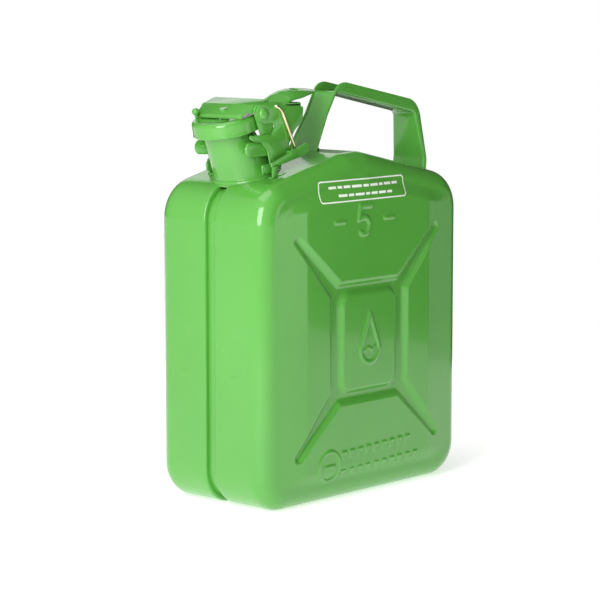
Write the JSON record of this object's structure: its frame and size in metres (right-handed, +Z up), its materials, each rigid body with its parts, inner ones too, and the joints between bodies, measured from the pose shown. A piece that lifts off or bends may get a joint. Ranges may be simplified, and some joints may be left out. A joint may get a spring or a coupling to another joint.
{
  "type": "jerry can",
  "caption": "Five litre pressed steel jerry can with an oblique neck, a hinged lid with finger lever and lock wire, and a strap handle.",
  "frame": {"origin": "on the ground under the middle of the overall box, the closure's overhang included", "axes": "+Z up, X along the can with the spout towards -X, Y through its thickness"},
  "size_m": [0.2376, 0.118, 0.31],
  "materials": {
    "enamel": "gloss enamel",
    "bare_steel": "bare",
    "zinc_wire": "yellow zinc plate",
    "rubber": "matte",
    "label_vinyl": "satin print"
  },
  "bodies": {
    "can": {"body_half_near": "enamel", "body_half_far": "enamel", "seam_weld": "enamel", "neck": "enamel", "neck_weld": "enamel", "neck_lug_near": "enamel", "neck_lug_far": "enamel", "breather_tube": "bare_steel", "hinge_bracket_near": "enamel", "hinge_bracket_far": "enamel", "hinge_pin_near": "enamel", "hinge_pin_far": "enamel", "handle": "enamel", "handle_weld_front": "enamel", "handle_weld_rear": "enamel", "label": "label_vinyl"},
    "lid": {"lid_cheek_near": "enamel", "lid_cheek_far": "enamel", "lid_spacer": "enamel", "lid_yoke": "enamel", "yoke_rivet_near": "enamel", "yoke_rivet_far": "enamel", "cap": "enamel", "cap_gasket": "rubber", "cap_rivet": "enamel", "cap_knob": "enamel"},
    "lever": {"lever": "enamel"},
    "lock_wire": {"lock_wire": "zinc_wire"}
  },
  "joints": [
    {"name": "lid_hinge", "type": "hinge", "parent": "can", "child": "lid", "pos_m": [-0.05753, 0, 0.2615], "axis": [0, 1, 0], "range_deg": [0, 65]},
    {"name": "lever_pivot", "type": "hinge", "parent": "lid", "child": "lever", "pos_m": [-0.07113, 0, 0.296], "axis": [0, -1, 0], "range_deg": [0, 97.5]},
    {"name": "wire_swing", "type": "hinge", "parent": "lid", "child": "lock_wire", "pos_m": [-0.07113, 0, 0.296], "axis": [0, -1, 0], "range_deg": [0, 120]}
  ],
  "couplings": [
    {"joint": "lever_pivot", "follows": "lid_hinge", "ratio": 1.5}
  ]
}
